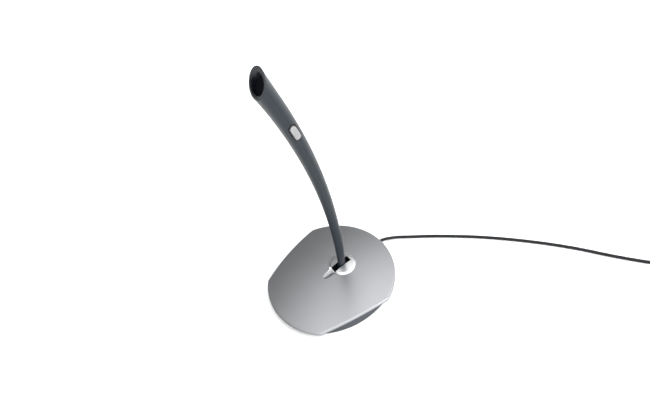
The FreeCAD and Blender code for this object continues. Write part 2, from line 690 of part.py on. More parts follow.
def half_sizes(distance, inset):
    """Half width and half depth of the stalk at a distance from the pivot, less an inset."""
    share = min(1.0, max(0.0, (distance - NECK_LENGTH) / (TAPER_LENGTH - NECK_LENGTH))) ** TAPER_POWER
    flare = max(0.0, (distance - STALK_REACH) / FLARE_LENGTH + 1) ** 2
    width = NECK_HALF_WIDTH + share * (HEAD_HALF_WIDTH - NECK_HALF_WIDTH) + flare * FLARE_WIDTH
    depth = NECK_HALF_DEPTH + share * (HEAD_HALF_DEPTH - NECK_HALF_DEPTH) + flare * FLARE_DEPTH
    return width - inset, depth - inset


def section(distance, inset):
    """Elliptical outline of the stalk that starts at its back and runs round by +X."""
    width, depth = half_sizes(distance, inset)
    middle = Vector(0, 0, 0)
    if depth >= width:
        edge = Part.Ellipse(Vector(0, depth, 0), Vector(width, 0, 0), middle).toShape()
    else:
        ellipse = Part.Ellipse(Vector(width, 0, 0), Vector(0, -depth, 0), middle)
        edge = ellipse.toShape(-math.pi / 2, 3 * math.pi / 2)
    return Part.Wire([on_stalk(edge, distance)])


def stalk_form(inset, start):
    """Tapering curved solid, from a distance above the pivot to beyond the mouth."""
    flare_start = STALK_REACH - FLARE_LENGTH
    end = STALK_REACH + MOUTH_OVERRUN
    pitch = (flare_start - start) / TAPER_STEPS
    flare_pitch = (end - flare_start) / FLARE_STEPS
    spots = [start + pitch * step for step in range(TAPER_STEPS)]
    spots += [flare_start + flare_pitch * step for step in range(FLARE_STEPS + 1)]
    return Part.makeLoft([section(spot, inset) for spot in spots], True)


def parting_line(offset):
    """Ends and middle of the stalk's centreline, moved back by an offset."""
    distances = (-2 * HUB_RADIUS, STALK_REACH / 2, STALK_REACH + 6 * HEAD_HALF_DEPTH)
    return [centreline(distance).add(Vector(0, offset, 0)) for distance in distances]


def across_stalk(edges):
    """Solid right across the stalk from a closed outline in its middle plane."""
    face = Part.Face(Part.Wire(edges))
    return face.translated(Vector(-FAR / 2, 0, 0)).extrude(Vector(FAR, 0, 0))


def half_space(front):
    """Everything in front of the centreline, or behind it."""
    low, middle, high = parting_line(0.0)
    side_y = -FAR if front else FAR
    return across_stalk([
        arc(low, middle, high),
        line(high, Vector(0, side_y, high.z)),
        line(Vector(0, side_y, high.z), Vector(0, side_y, low.z)),
        line(Vector(0, side_y, low.z), low),
    ])


def seam_groove():
    """Fine groove down both flanks on the line between the two halves."""
    front_low, front_middle, front_high = parting_line(-SEAM_WIDTH / 2)
    back_low, back_middle, back_high = parting_line(SEAM_WIDTH / 2)
    slab = across_stalk([
        arc(front_low, front_middle, front_high),
        line(front_high, back_high),
        arc(back_high, back_middle, back_low),
        line(back_low, front_low),
    ])
    return slab.cut(stalk_form(SEAM_DEPTH, NECK_LENGTH))


def mouth_block(depth, thickness):
    """Slab behind the mouth plane, from a depth inwards."""
    turn = math.radians(MOUTH_TILT)
    normal = Vector(0, -math.cos(turn), math.sin(turn))
    centre = centreline(STALK_REACH).sub(Vector(normal).multiply(depth + thickness))
    return cylinder(FAR, thickness, centre, normal)


def stalk_block(distance, start, thickness):
    """Slab square to the stalk at a distance from the pivot, from start to start + thickness."""
    return on_stalk(cylinder(FAR, thickness, Vector(0, 0, start)), distance)


def bore_form():
    return stalk_form(STALK_WALL, NECK_LENGTH)


def board_rests():
    """Two ribs across the bore that the switch board lies on."""
    behind = box(Vector(-FAR, -FAR, -FAR), Vector(board_back(), FAR, FAR))
    rests = []
    for side in (-1, 1):
        start = side * (BOARD_LENGTH / 2 - REST_INSET) - REST_THICKNESS / 2
        slab = stalk_block(SWITCH_DISTANCE, start, REST_THICKNESS)
        rests.append(stalk_form(STALK_WALL / 2, NECK_LENGTH).common(slab).common(behind))
    return rests


def shell_wall():
    wall = stalk_form(0.0, NECK_LENGTH).cut(bore_form())
    wall = wall.common(mouth_block(0.0, FAR))
    wall = wall.cut(switch_window()).cut(seam_groove())
    for rest in board_rests():
        wall = wall.fuse(rest)
    return wall.removeSplitter()


def front_shell():
    return shell_wall().common(half_space(True))


def rear_shell():
    """Back half of the stalk, with the neck and the hub in one piece."""
    half = shell_wall().common(half_space(False))
    neck_wires = [section(0.0, 0.0), section(NECK_LENGTH, 0.0)]
    neck = Part.makeLoft(neck_wires, True)
    hub = cylinder(HUB_RADIUS, HUB_WIDTH, Vector(-HUB_WIDTH / 2, PIVOT_Y, PIVOT_HEIGHT), X_AXIS)
    bore = cylinder(AXLE_RADIUS, HUB_WIDTH, Vector(-HUB_WIDTH / 2, PIVOT_Y, PIVOT_HEIGHT), X_AXIS)
    passage = on_stalk(cylinder(LEAD_RADIUS + LEAD_CLEARANCE, NECK_LENGTH, Vector(0, 0, 0)), 0.0)
    foot = neck.fuse(hub).cut(bore).cut(passage)
    return half.fuse(foot).removeSplitter()


def racetrack(length, width, start_x, thickness):
    """Round-ended bar across X, its length along Z, centred on the origin."""
    radius = width / 2
    straight = length / 2 - radius
    middle = box(Vector(start_x, -radius, -straight), Vector(start_x + thickness, radius, straight))
    ends = [cylinder(radius, thickness, Vector(start_x, 0, side * straight), X_AXIS) for side in (-1, 1)]
    return join(middle, *ends)


def flank():
    """Distance from the centreline to the stalk's outside at the switch."""
    return half_sizes(SWITCH_DISTANCE, 0.0)[0]


def recess_length():
    return KNOB_LENGTH + KNOB_TRAVEL + 2 * KNOB_END_GAP


def recess_width():
    return KNOB_WIDTH + 2 * KNOB_SIDE_GAP


def recess_floor():
    """X of the recess floor's outer face."""
    return flank() + KNOB_PROUD - KNOB_THICKNESS - FLOAT_GAP


def switch_window():
    margin = 2 * FRAME_WALL
    hole = racetrack(recess_length() + margin, recess_width() + margin, 0.0, 2 * flank())
    return on_stalk(hole, SWITCH_DISTANCE)


def switch_frame():
    """Oval recess that closes the window, with a slit for the actuator."""
    margin = 2 * FRAME_WALL
    start = recess_floor() - FRAME_FLOOR
    body = racetrack(recess_length() + margin, recess_width() + margin, start, flank())
    body = body.cut(racetrack(recess_length(), recess_width(), recess_floor(), flank()))
    slit_length = ACTUATOR_SIZE + KNOB_TRAVEL + 2 * KNOB_END_GAP
    slit_width = ACTUATOR_SIZE + 2 * KNOB_END_GAP
    half_width = slit_width / 2
    half_length = slit_length / 2
    body = body.cut(box(Vector(start, -half_width, -half_length), Vector(flank(), half_width, half_length)))
    placed = on_stalk(body, SWITCH_DISTANCE)
    return placed.common(stalk_form(FRAME_SETBACK, NECK_LENGTH))


def knob_base():
    return recess_floor() + FLOAT_GAP


def switch_knob():
    """Ribbed slide knob, at the lower end of its travel, with a socket for the actuator."""
    knob = racetrack(KNOB_LENGTH, KNOB_WIDTH, knob_base(), KNOB_THICKNESS)
    face = knob_base() + KNOB_THICKNESS
    crown_radius = KNOB_LENGTH * 2
    crown = cylinder(crown_radius, KNOB_WIDTH, Vector(face - crown_radius, -KNOB_WIDTH / 2, 0), Y_AXIS)
    knob = knob.common(crown)
    pitch = (KNOB_LENGTH - KNOB_WIDTH) / (KNOB_RIBS - 1)
    for index in range(KNOB_RIBS):
        height = (index - (KNOB_RIBS - 1) / 2) * pitch
        drop = crown_radius - math.sqrt(crown_radius ** 2 - height ** 2)
        half = KNOB_WIDTH / 2 - KNOB_RIB_RADIUS
        rib = cylinder(KNOB_RIB_RADIUS, 2 * half, Vector(face - drop, -half, height), Y_AXIS)
        knob = knob.fuse(rib)
    knob = knob.removeSplitter()
    socket = actuator_box()
    knob = knob.cut(socket)
    return on_stalk(knob.translated(Vector(0, 0, -KNOB_TRAVEL / 2)), SWITCH_DISTANCE)


def actuator_box():
    half = ACTUATOR_SIZE / 2
    end = knob_base() + KNOB_THICKNESS / 2
    start = slider_front() + FLOAT_GAP
    return box(Vector(start, -half, -half), Vector(end, half, half))


def switch_actuator():
    return on_stalk(actuator_box().translated(Vector(0, 0, -KNOB_TRAVEL / 2)), SWITCH_DISTANCE)


def slider_front():
    return recess_floor() - FRAME_FLOOR - FLOAT_GAP


def slide_switch():
    low = Vector(slider_front() - SLIDER_DEPTH, -SLIDER_WIDTH / 2, -SLIDER_LENGTH / 2)
    high = Vector(slider_front(), SLIDER_WIDTH / 2, SLIDER_LENGTH / 2)
    return on_stalk(box(low, high), SWITCH_DISTANCE)


def board_back():
    """X of the board's back face."""
    return slider_front() - SLIDER_DEPTH - BOARD_THICKNESS


def switch_board():
    low = Vector(board_back(), -BOARD_WIDTH / 2, -BOARD_LENGTH / 2)
    high = Vector(board_back() + BOARD_THICKNESS, BOARD_WIDTH / 2, BOARD_LENGTH / 2)
    return on_stalk(box(low, high), SWITCH_DISTANCE)


# ---------------------------------------------------------------- mouth

def mouth_bezel():
    """Dark liner inside the mouth."""
    liner = bore_form().cut(stalk_form(STALK_WALL + BEZEL_WALL, NECK_LENGTH))
    return liner.common(mouth_block(BEZEL_SETBACK, FOAM_DEPTH - BEZEL_SETBACK))


def foam_windscreen():
    """Foam plug that fills the bore from behind the bezel down to the capsule."""
    plug = bore_form().common(stalk_block(CAPSULE_DISTANCE, CAPSULE_LENGTH / 2, STALK_REACH))
    return plug.common(mouth_block(FOAM_DEPTH, FAR))


def mic_capsule():
    """Aluminium can with a turned-in rim and a sunk front."""
    base = Vector(0, 0, -CAPSULE_LENGTH / 2)
    can = cylinder(CAPSULE_RADIUS, CAPSULE_LENGTH, base)
    front = Vector(0, 0, CAPSULE_LENGTH / 2 - CAPSULE_RIM)
    can = can.cut(cylinder(CAPSULE_RADIUS - 2 * CAPSULE_RIM, CAPSULE_RIM, front))
    return on_stalk(can, CAPSULE_DISTANCE)


def capsule_sleeve():
    """Rubber sleeve that holds the capsule in the bore."""
    slab = stalk_block(CAPSULE_DISTANCE, -SLEEVE_LENGTH / 2, SLEEVE_LENGTH)
    can = cylinder(CAPSULE_RADIUS, CAPSULE_LENGTH, Vector(0, 0, -CAPSULE_LENGTH / 2))
    return bore_form().common(slab).cut(on_stalk(can, CAPSULE_DISTANCE))


# ---------------------------------------------------------------- leads

def rounded_route(points, radii):
    """Straight runs joined by tangent arcs, each taking ARC_SHARE of its shorter run."""
    edges = []
    start = points[0]
    for before, corner, after in zip(points, points[1:], points[2:]):
        inward = corner.sub(before)
        outward = after.sub(corner)
        half_turn = inward.getAngle(outward) / 2
        cut = ARC_SHARE * min(inward.Length, outward.Length)
        radius = cut / math.tan(half_turn)
        inward.normalize()
        outward.normalize()
        arc_start = corner.sub(Vector(inward).multiply(cut))
        arc_end = corner.add(Vector(outward).multiply(cut))
        bisector = outward.sub(inward).normalize()
        centre = corner.add(Vector(bisector).multiply(radius / math.cos(half_turn)))
        middle = centre.sub(Vector(bisector).multiply(radius))
        edges.append(line(start, arc_start))
        edges.append(arc(arc_start, middle, arc_end))
        radii.append(round(radius, 1))
        start = arc_end
    edges.append(line(start, points[-1]))
    return Part.Wire(edges)


def tube(name, points, radius):
    """Round tube along a rounded route; prints its radii and its volume against section x length."""
    radii = []
    route = rounded_route(points, radii)
    first = points[1].sub(points[0])
    circle = Part.Circle(points[0], first, radius).toShape()
    shape = route.makePipeShell([Part.Wire([circle])], True, False)
    ratio = shape.Volume / (math.pi * radius ** 2 * route.Length)
    print(name, "radii", radii, "length", round(route.Length, 1), "volume ratio", round(ratio, 4))
    return shape


def stalk_lead():
    """Thin lead from the switch board down the stalk into the hollow axle and out at its end."""
    bend = AXLE_RADIUS
    top = SWITCH_DISTANCE - BOARD_LENGTH / 2
    start = centreline(0.0)
    end_x = AXLE_HALF_LENGTH
    along = centreline(bend).sub(start).normalize()
    elbow_top = start.add(Vector(along).multiply(bend))
    turn = bend * (1 - math.sqrt(0.5))
    elbow_middle = start.add(Vector(along).multiply(turn)).add(Vector(turn, 0, 0))
    elbow_end = start.add(Vector(bend, 0, 0))
    edges = [
        line(start.add(Vector(end_x, 0, 0)), elbow_end),
        arc(elbow_end, elbow_middle, elbow_top),
        arc(elbow_top, centreline(top / 2), centreline(top)),
    ]
    route = Part.Wire(edges)
    circle = Part.Circle(start.add(Vector(end_x, 0, 0)), X_AXIS, LEAD_RADIUS).toShape()
    return route.makePipeShell([Part.Wire([circle])], True, False)


def capsule_lead():
    """Pair of short wires from the capsule to the switch board."""
    length = CAPSULE_DISTANCE - CAPSULE_LENGTH / 2 - SWITCH_DISTANCE - BOARD_LENGTH / 2
    x = board_back() + BOARD_THICKNESS / 2
    wires = []
    for side in (-1, 1):
        start = Vector(x, side * 2 * LEAD_RADIUS, -CAPSULE_LENGTH / 2 - length)
        wires.append(on_stalk(cylinder(LEAD_RADIUS, length, start), CAPSULE_DISTANCE))
    return group(wires).cut(switch_board())


def cable_gland():
    """Tapered strain relief, with a flange inside the housing wall."""
    inner_end = HOUSING_RADIUS - GLAND_INSIDE
    tip_radius = CORD_RADIUS + GLAND_WALL / 2
    points = [
        (CORD_RADIUS, inner_end),
        (GLAND_RADIUS, inner_end),
        (GLAND_RADIUS, HOUSING_RADIUS),
        (tip_radius, GLAND_TIP_Y),
        (CORD_RADIUS, GLAND_TIP_Y),
    ]
    sleeve = revolved(profile(points))
    sleeve.rotate(Vector(0, 0, 0), X_AXIS, -90)
    sleeve = sleeve.translated(Vector(0, 0, EXIT_HEIGHT))
    flange_y = HOUSING_RADIUS - HOUSING_WALL - GLAND_FLANGE - CAP_CLEARANCE
    top = dome_height(flange_y + GLAND_FLANGE, COVER_WALL) - CAP_CLEARANCE
    half = 2 * GLAND_RADIUS
    flange = box(Vector(-half, flange_y, FLOOR_TOP), Vector(half, flange_y + GLAND_FLANGE, top))
    flange = flange.cut(cylinder(CORD_RADIUS, GLAND_INSIDE * 2, Vector(0, inner_end, EXIT_HEIGHT), Y_AXIS))
    return join(sleeve, flange)


def cable_stub():
    """Jacketed end of the lead, from the clamp to the tip of the strain relief."""
    length = GLAND_TIP_Y - STUB_INNER_Y
    return cylinder(CORD_RADIUS, length, Vector(0, STUB_INNER_Y, EXIT_HEIGHT), Y_AXIS)


def cable_clamp():
    bottom = EXIT_HEIGHT + CORD_RADIUS
    low = Vector(-CLAMP_LENGTH / 2, CLAMP_Y - CLAMP_WIDTH / 2, bottom)
    high = Vector(CLAMP_LENGTH / 2, CLAMP_Y + CLAMP_WIDTH / 2, bottom + CLAMP_THICKNESS)
    return box(low, high).cut(small_screw_group("clamp_screws"))


def base_lead():
    """Thin lead from the jacketed end round the bracket to the end of the axle."""
    axle_end = AXLE_HALF_LENGTH + FLOAT_GAP
    beside = EAR_OUTER + 2 * CORD_DIAMETER
    turn_y = STUB_INNER_Y - STUB_GAP / 2
    points = [
        Vector(0, STUB_INNER_Y, EXIT_HEIGHT),
        Vector(0, turn_y, EXIT_HEIGHT),
        Vector(beside / 2, turn_y, EXIT_HEIGHT + CORD_RADIUS / 2),
        Vector(beside, PIVOT_Y + BRACKET_SCREW_REACH, EXIT_HEIGHT + CORD_RADIUS),
        Vector(beside + CORD_DIAMETER, PIVOT_Y + EAR_RADIUS, PIVOT_HEIGHT - CORD_RADIUS),
        Vector(beside, PIVOT_Y + LEAD_RADIUS, PIVOT_HEIGHT),
        Vector(axle_end, PIVOT_Y, PIVOT_HEIGHT),
    ]
    return tube("base_lead", points, LEAD_RADIUS)


def cord_tube():
    points = [Vector(0, GLAND_TIP_Y, EXIT_HEIGHT)]
    points += [Vector(x, GLAND_TIP_Y + distance, z) for x, distance, z in CORD_ROUTE]
    return tube("cord_tube", points, CORD_RADIUS)


def coil_radius(column):
    return COIL_MEAN_RADIUS + (column - (COIL_COLUMNS - 1) / 2) * COIL_PITCH


def cord_coil():
    outer = coil_radius(COIL_COLUMNS - 1) + CORD_RADIUS
    inner = coil_radius(0) - CORD_RADIUS
    height = (COIL_LAYERS - 1) * COIL_PITCH + CORD_DIAMETER
    return ring(outer, inner, height, Vector(*COIL_CENTRE, COIL_FLOOR))


def coil_tie():
    """Flat band round the bundle of turns."""
    outer = coil_radius(COIL_COLUMNS - 1) + CORD_RADIUS
    inner = coil_radius(0) - CORD_RADIUS
    height = (COIL_LAYERS - 1) * COIL_PITCH + CORD_DIAMETER
    half = TIE_WIDTH / 2
    hole = box(Vector(inner, -half, COIL_FLOOR), Vector(outer, half, COIL_FLOOR + height))
    low = Vector(inner - TIE_THICKNESS, -half, COIL_FLOOR - TIE_THICKNESS)
    high = Vector(outer + TIE_THICKNESS, half, COIL_FLOOR + height + TIE_THICKNESS)
    band = box(low, high).cut(hole)
    band.rotate(Vector(0, 0, 0), Z_AXIS, TIE_ANGLE)
    band = band.translated(Vector(*COIL_CENTRE, 0))
    return band.cut(cord_coil())


def tail_points():
    turn = math.radians(TAIL_ANGLE)
    radius = coil_radius(COIL_COLUMNS - 1)
    top = COIL_FLOOR + CORD_RADIUS + (COIL_LAYERS - 1) * COIL_PITCH
    start = Vector(COIL_CENTRE[0] + radius * math.cos(turn), COIL_CENTRE[1] + radius * math.sin(turn), top)
    along = Vector(-math.sin(turn), math.cos(turn), 0)
    return [start.add(Vector(along).multiply(run)).add(Vector(0, 0, drop)) for run, drop in TAIL_ROUTE]


def cord_tail():
    return tube("cord_tail", tail_points(), CORD_RADIUS)


def on_plug(shape):
    """Carry a shape built along +X from the origin to the end of the tail."""
    moved = shape.copy()
    moved.rotate(Vector(0, 0, 0), Z_AXIS, TAIL_ANGLE + 90)
    return moved.translated(tail_points()[-1])


def turned(points):
    """Solid of revolution along +X from (distance, radius) pairs."""
    corners = [Vector(distance, 0, radius) for distance, radius in points]
    edges = [line(a, b) for a, b in zip(corners, corners[1:] + corners[:1])]
    return Part.Face(Part.Wire(edges)).revolve(Vector(0, 0, 0), X_AXIS, 360)


def plug_relief():
    end = PLUG_RELIEF_LENGTH
    points = [(0, 0), (0, CORD_RADIUS + PLUG_RELIEF_WALL), (end, PLUG_RELIEF_RADIUS), (end, 0)]
    return on_plug(turned(points))


def plug_body():
    """Moulded grip with a stepped front collar."""
    start = PLUG_RELIEF_LENGTH
    end = start + PLUG_BODY_LENGTH
    shoulder = PLUG_BODY_RADIUS - PLUG_RELIEF_RADIUS
    points = [
        (start, 0),
        (start, PLUG_RELIEF_RADIUS),
        (start + shoulder, PLUG_BODY_RADIUS),
        (end - shoulder / 2, PLUG_BODY_RADIUS),
        (end, PLUG_BODY_RADIUS - shoulder / 2),
        (end, PLUG_COLLAR_RADIUS),
        (end + PLUG_COLLAR_LENGTH, PLUG_COLLAR_RADIUS),
        (end + PLUG_COLLAR_LENGTH, 0),
    ]
    return on_plug(turned(points))


def jack_start():
    return PLUG_RELIEF_LENGTH + PLUG_BODY_LENGTH + PLUG_COLLAR_LENGTH


def jack_contacts():
    """Sleeve, ring and tip of the 3.5 mm jack."""
    start = Vector(jack_start(), 0, 0)
    sleeve = cylinder(JACK_RADIUS, JACK_SLEEVE_LENGTH, start, X_AXIS)
    ring_x = jack_start() + JACK_SLEEVE_LENGTH + JACK_INSULATOR_LENGTH
    contact_ring = cylinder(JACK_RADIUS, JACK_RING_LENGTH, Vector(ring_x, 0, 0), X_AXIS)
    tip_x = ring_x + JACK_RING_LENGTH + JACK_INSULATOR_LENGTH
    outline = [(tip_x + share * JACK_TIP_LENGTH, radius * JACK_RADIUS) for share, radius in JACK_TIP_FORM]
    tip = turned([(tip_x, 0)] + outline + [(tip_x + JACK_TIP_LENGTH, 0)])
    return on_plug(group([sleeve, contact_ring, tip]))


def jack_insulators():
    first = jack_start() + JACK_SLEEVE_LENGTH
    second = first + JACK_INSULATOR_LENGTH + JACK_RING_LENGTH
    rings = []
    for start in (first, second):
        rings.append(cylinder(JACK_RADIUS, JACK_INSULATOR_LENGTH, Vector(start, 0, 0), X_AXIS))
    return on_plug(group(rings))


PIECES = {
    "base_cover": base_cover,
    "lower_housing": lower_housing,
    "rubber_feet": rubber_feet,
    "ballast_plate": ballast_plate,
    "case_screws": case_screws,
    "pivot_cap": pivot_cap,
    "pivot_bracket": pivot_bracket,
    "friction_washers": friction_washers,
    "cone_springs": cone_springs,
    "cable_gland": cable_gland,
    "cable_stub": cable_stub,
    "cable_clamp": cable_clamp,
    "base_lead": base_lead,
    "pivot_axle": pivot_axle,
    "axle_clips": axle_clips,
    "stalk_front_shell": front_shell,
    "stalk_rear_shell": rear_shell,
    "stalk_lead": stalk_lead,
    "switch_frame": switch_frame,
    "slide_switch": slide_switch,
    "switch_board": switch_board,
    "switch_knob": switch_knob,
    "switch_actuator": switch_actuator,
    "mouth_bezel": mouth_bezel,
    "foam_windscreen": foam_windscreen,
    "mic_capsule": mic_capsule,
    "capsule_sleeve": capsule_sleeve,
    "capsule_lead": capsule_lead,
    "cord_tube": cord_tube,
    "cord_coil": cord_coil,
    "coil_tie": coil_tie,
    "cord_tail": cord_tail,
    "plug_relief": plug_relief,
    "plug_body": plug_body,
    "jack_contacts": jack_contacts,
    "jack_insulators": jack_insulators,
}


def main():
    os.makedirs("parts", exist_ok=True)
    for name, make in PIECES.items():
        export(name, make())
    for name in small_screw_sets():
        export(name, small_screw_group(name))


main()
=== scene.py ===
import json
import math

import bmesh
import bpy
from mathutils import Matrix, Vector


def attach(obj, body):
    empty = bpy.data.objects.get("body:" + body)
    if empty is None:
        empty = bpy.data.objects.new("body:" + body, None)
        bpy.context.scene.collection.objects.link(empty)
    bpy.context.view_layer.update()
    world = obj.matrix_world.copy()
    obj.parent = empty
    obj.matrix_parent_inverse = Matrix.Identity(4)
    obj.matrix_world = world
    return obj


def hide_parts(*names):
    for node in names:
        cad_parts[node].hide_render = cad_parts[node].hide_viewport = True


# Desktop stalk microphone. Metres, in the CAD frame: +Z up, +Y to the back where the lead
# leaves, +X to the side with the switch.

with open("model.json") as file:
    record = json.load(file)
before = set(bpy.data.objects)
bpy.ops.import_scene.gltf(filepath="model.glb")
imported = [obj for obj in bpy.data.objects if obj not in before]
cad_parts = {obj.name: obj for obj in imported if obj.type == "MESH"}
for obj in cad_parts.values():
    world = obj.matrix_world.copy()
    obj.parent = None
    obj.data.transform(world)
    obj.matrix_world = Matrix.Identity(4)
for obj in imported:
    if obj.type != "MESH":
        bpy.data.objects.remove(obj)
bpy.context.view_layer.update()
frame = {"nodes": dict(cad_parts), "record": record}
nodes = frame["nodes"]

# ------------------------------------------------------------------ camera

CAMERA_SPOT = Vector((0.31557, -0.13574, 0.49824))
CAMERA_AZIMUTH = math.radians(64.29)
CAMERA_ELEVATION = math.radians(48.95)
CAMERA_ROLL = math.radians(16.9)
CAMERA_LENS = 38.9
SENSOR_WIDTH = 36.0
CLIP_START = 0.02
CLIP_END = 20.0


def make_camera():
    data = bpy.data.cameras.new("camera")
    data.lens = CAMERA_LENS
    data.sensor_width = SENSOR_WIDTH
    data.clip_start = CLIP_START
    data.clip_end = CLIP_END
    level = Vector((math.cos(CAMERA_AZIMUTH), math.sin(CAMERA_AZIMUTH), 0.0))
    back = Vector((
        math.sin(CAMERA_AZIMUTH) * math.cos(CAMERA_ELEVATION),
        -math.cos(CAMERA_AZIMUTH) * math.cos(CAMERA_ELEVATION),
        math.sin(CAMERA_ELEVATION),
    ))
    upright = back.cross(level)
    right = level * math.cos(CAMERA_ROLL) - upright * math.sin(CAMERA_ROLL)
    up = back.cross(right)
    pose = Matrix((right, up, back)).transposed().to_4x4()
    pose.translation = CAMERA_SPOT
    camera = bpy.data.objects.new("camera", data)
    camera.matrix_world = pose
    bpy.context.scene.collection.objects.link(camera)
    bpy.context.scene.camera = camera


# ------------------------------------------------------------------ materials

def connect(tree, start, end):
    tree.links.new(start, end)


PATCH_DETAIL = 3.0
GRAIN_DETAIL = 2.0
NOISE_LOW = 0.3    # noise seldom leaves this range
NOISE_HIGH = 0.7


def noise(tree, coordinates, size, detail):
    """Noise whose features are about size metres across."""
    texture = tree.nodes.new("ShaderNodeTexNoise")
    texture.inputs["Scale"].default_value = 1.0 / size
    texture.inputs["Detail"].default_value = detail
    connect(tree, coordinates, texture.inputs["Vector"])
    return texture.outputs["Fac"]


def remap(tree, value, low, high):
    """Noise spread from low to high."""
    node = tree.nodes.new("ShaderNodeMapRange")
    node.inputs["From Min"].default_value = NOISE_LOW
    node.inputs["From Max"].default_value = NOISE_HIGH
    node.inputs["To Min"].default_value = low
    node.inputs["To Max"].default_value = high
    connect(tree, value, node.inputs["Value"])
    return node.outputs["Result"]


def blend_colour(tree, factor, first, second):
    node = tree.nodes.new("ShaderNodeMix")
    node.data_type = "RGBA"
    node.inputs["A"].default_value = (*first, 1.0)
    node.inputs["B"].default_value = (*second, 1.0)
    connect(tree, factor, node.inputs["Factor"])
    return node.outputs["Result"]


def surface(name, colour, rough, metallic=0.0, shade=0.12, patch=0.02, rough_spread=0.04,
            grain=0.0004, grain_depth=0.00001, specular=0.5, flake=0.0):
    """A painted, moulded or metal surface: mottled colour, uneven roughness and a fine grain."""
    material = bpy.data.materials.new(name)
    material.use_nodes = True
    tree = material.node_tree
    shader = tree.nodes["Principled BSDF"]
    shader.inputs["Metallic"].default_value = metallic
    shader.inputs["Specular IOR Level"].default_value = specular
    spot = tree.nodes.new("ShaderNodeTexCoord").outputs["Object"]
    patches = noise(tree, spot, patch, PATCH_DETAIL)
    fine = noise(tree, spot, grain, GRAIN_DETAIL)
    dark = [channel * (1.0 - shade) for channel in colour]
    light = [min(1.0, channel * (1.0 + shade)) for channel in colour]
    tone = remap(tree, patches, 0.0, 1.0)
    mixed = blend_colour(tree, tone, dark, light)
    if flake:
        sparkle = remap(tree, fine, 1.0 - flake, 1.0 + flake)
        scale = tree.nodes.new("ShaderNodeVectorMath")
        scale.operation = "SCALE"
        connect(tree, mixed, scale.inputs[0])
        connect(tree, sparkle, scale.inputs["Scale"])
        mixed = scale.outputs["Vector"]
    connect(tree, mixed, shader.inputs["Base Color"])
    uneven = remap(tree, fine, rough - rough_spread, rough + rough_spread)
    connect(tree, uneven, shader.inputs["Roughness"])
    bump = tree.nodes.new("ShaderNodeBump")
    bump.inputs["Strength"].default_value = 1.0
    bump.inputs["Distance"].default_value = grain_depth
    connect(tree, fine, bump.inputs["Height"])
    connect(tree, bump.outputs["Normal"], shader.inputs["Normal"])
    return material


LOOKS = {
    "silver_paint": dict(colour=(0.27, 0.275, 0.285), rough=0.34, metallic=0.85, shade=0.012,
                         patch=0.03, grain=0.00025, grain_depth=0.000003, flake=0.05),
    "housing_plastic": dict(colour=(0.034, 0.038, 0.046), rough=0.45, shade=0.05, grain=0.0003,
                            grain_depth=0.000008, specular=0.35),
    "cap_gloss": dict(colour=(0.46, 0.465, 0.475), rough=0.30, metallic=0.95, shade=0.01,
                      grain_depth=0.000001),
    "stalk_plastic": dict(colour=(0.011, 0.0155, 0.021), rough=0.34, shade=0.05, grain=0.0003,
                          grain_depth=0.000005, specular=0.22),
    "frame_plastic": dict(colour=(0.006, 0.0065, 0.008), rough=0.45, shade=0.06, specular=0.3),
    "knob_plastic": dict(colour=(0.23, 0.23, 0.23), rough=0.40, shade=0.02),
    # liner_gloss is painted shade: a near-black liner put in the stalk's pivot slot so the slot
    # reads as dark as its own shadow
    "liner_gloss": dict(colour=(0.005, 0.006, 0.009), rough=0.28, shade=0.05, grain_depth=0.000002,
                        specular=0.25),
    "acoustic_foam": dict(colour=(0.004, 0.0045, 0.006), rough=0.95, shade=0.3, patch=0.003,
                          grain=0.0005, grain_depth=0.0002, specular=0.1),
    "steel": dict(colour=(0.42, 0.42, 0.43), rough=0.34, metallic=1.0, shade=0.08, patch=0.008),
    "spring_steel": dict(colour=(0.05, 0.05, 0.055), rough=0.35, metallic=0.8, shade=0.06),
    "black_steel": dict(colour=(0.012, 0.012, 0.014), rough=0.45, metallic=0.4, shade=0.06,
                        specular=0.3),
    "nylon": dict(colour=(0.010, 0.010, 0.011), rough=0.5, shade=0.05, specular=0.3),
    "black_rubber": dict(colour=(0.012, 0.012, 0.014), rough=0.7, shade=0.12, grain=0.0005,
                         grain_depth=0.00003),
    "aluminium_can": dict(colour=(0.60, 0.60, 0.61), rough=0.28, metallic=1.0, shade=0.04),
    "board_laminate": dict(colour=(0.02, 0.085, 0.035), rough=0.35, shade=0.15, patch=0.004),
    "switch_can": dict(colour=(0.48, 0.48, 0.48), rough=0.3, metallic=1.0, shade=0.06),
    "lead_jacket": dict(colour=(0.006, 0.007, 0.009), rough=0.45, shade=0.08, grain=0.0006,
                        grain_depth=0.000008, specular=0.2),
    "wire_red": dict(colour=(0.28, 0.018, 0.018), rough=0.4, shade=0.06),
    "plug_plastic": dict(colour=(0.010, 0.010, 0.012), rough=0.4, shade=0.08),
    "contact_metal": dict(colour=(0.64, 0.62, 0.58), rough=0.16, metallic=1.0, shade=0.03),
    "insulator": dict(colour=(0.009, 0.009, 0.010), rough=0.25, shade=0.05),
    "tie_plastic": dict(colour=(0.018, 0.018, 0.020), rough=0.5, shade=0.08),
}
materials = {name: surface(name, **look) for name, look in LOOKS.items()}


def paint(piece, name):
    piece.data.materials.clear()
    piece.data.materials.append(materials[name])


def paint_nodes():
    for part in frame["record"]["subparts"]:
        paint(nodes[part["node"]], part["material_slot"])


# ------------------------------------------------------------------ the lead

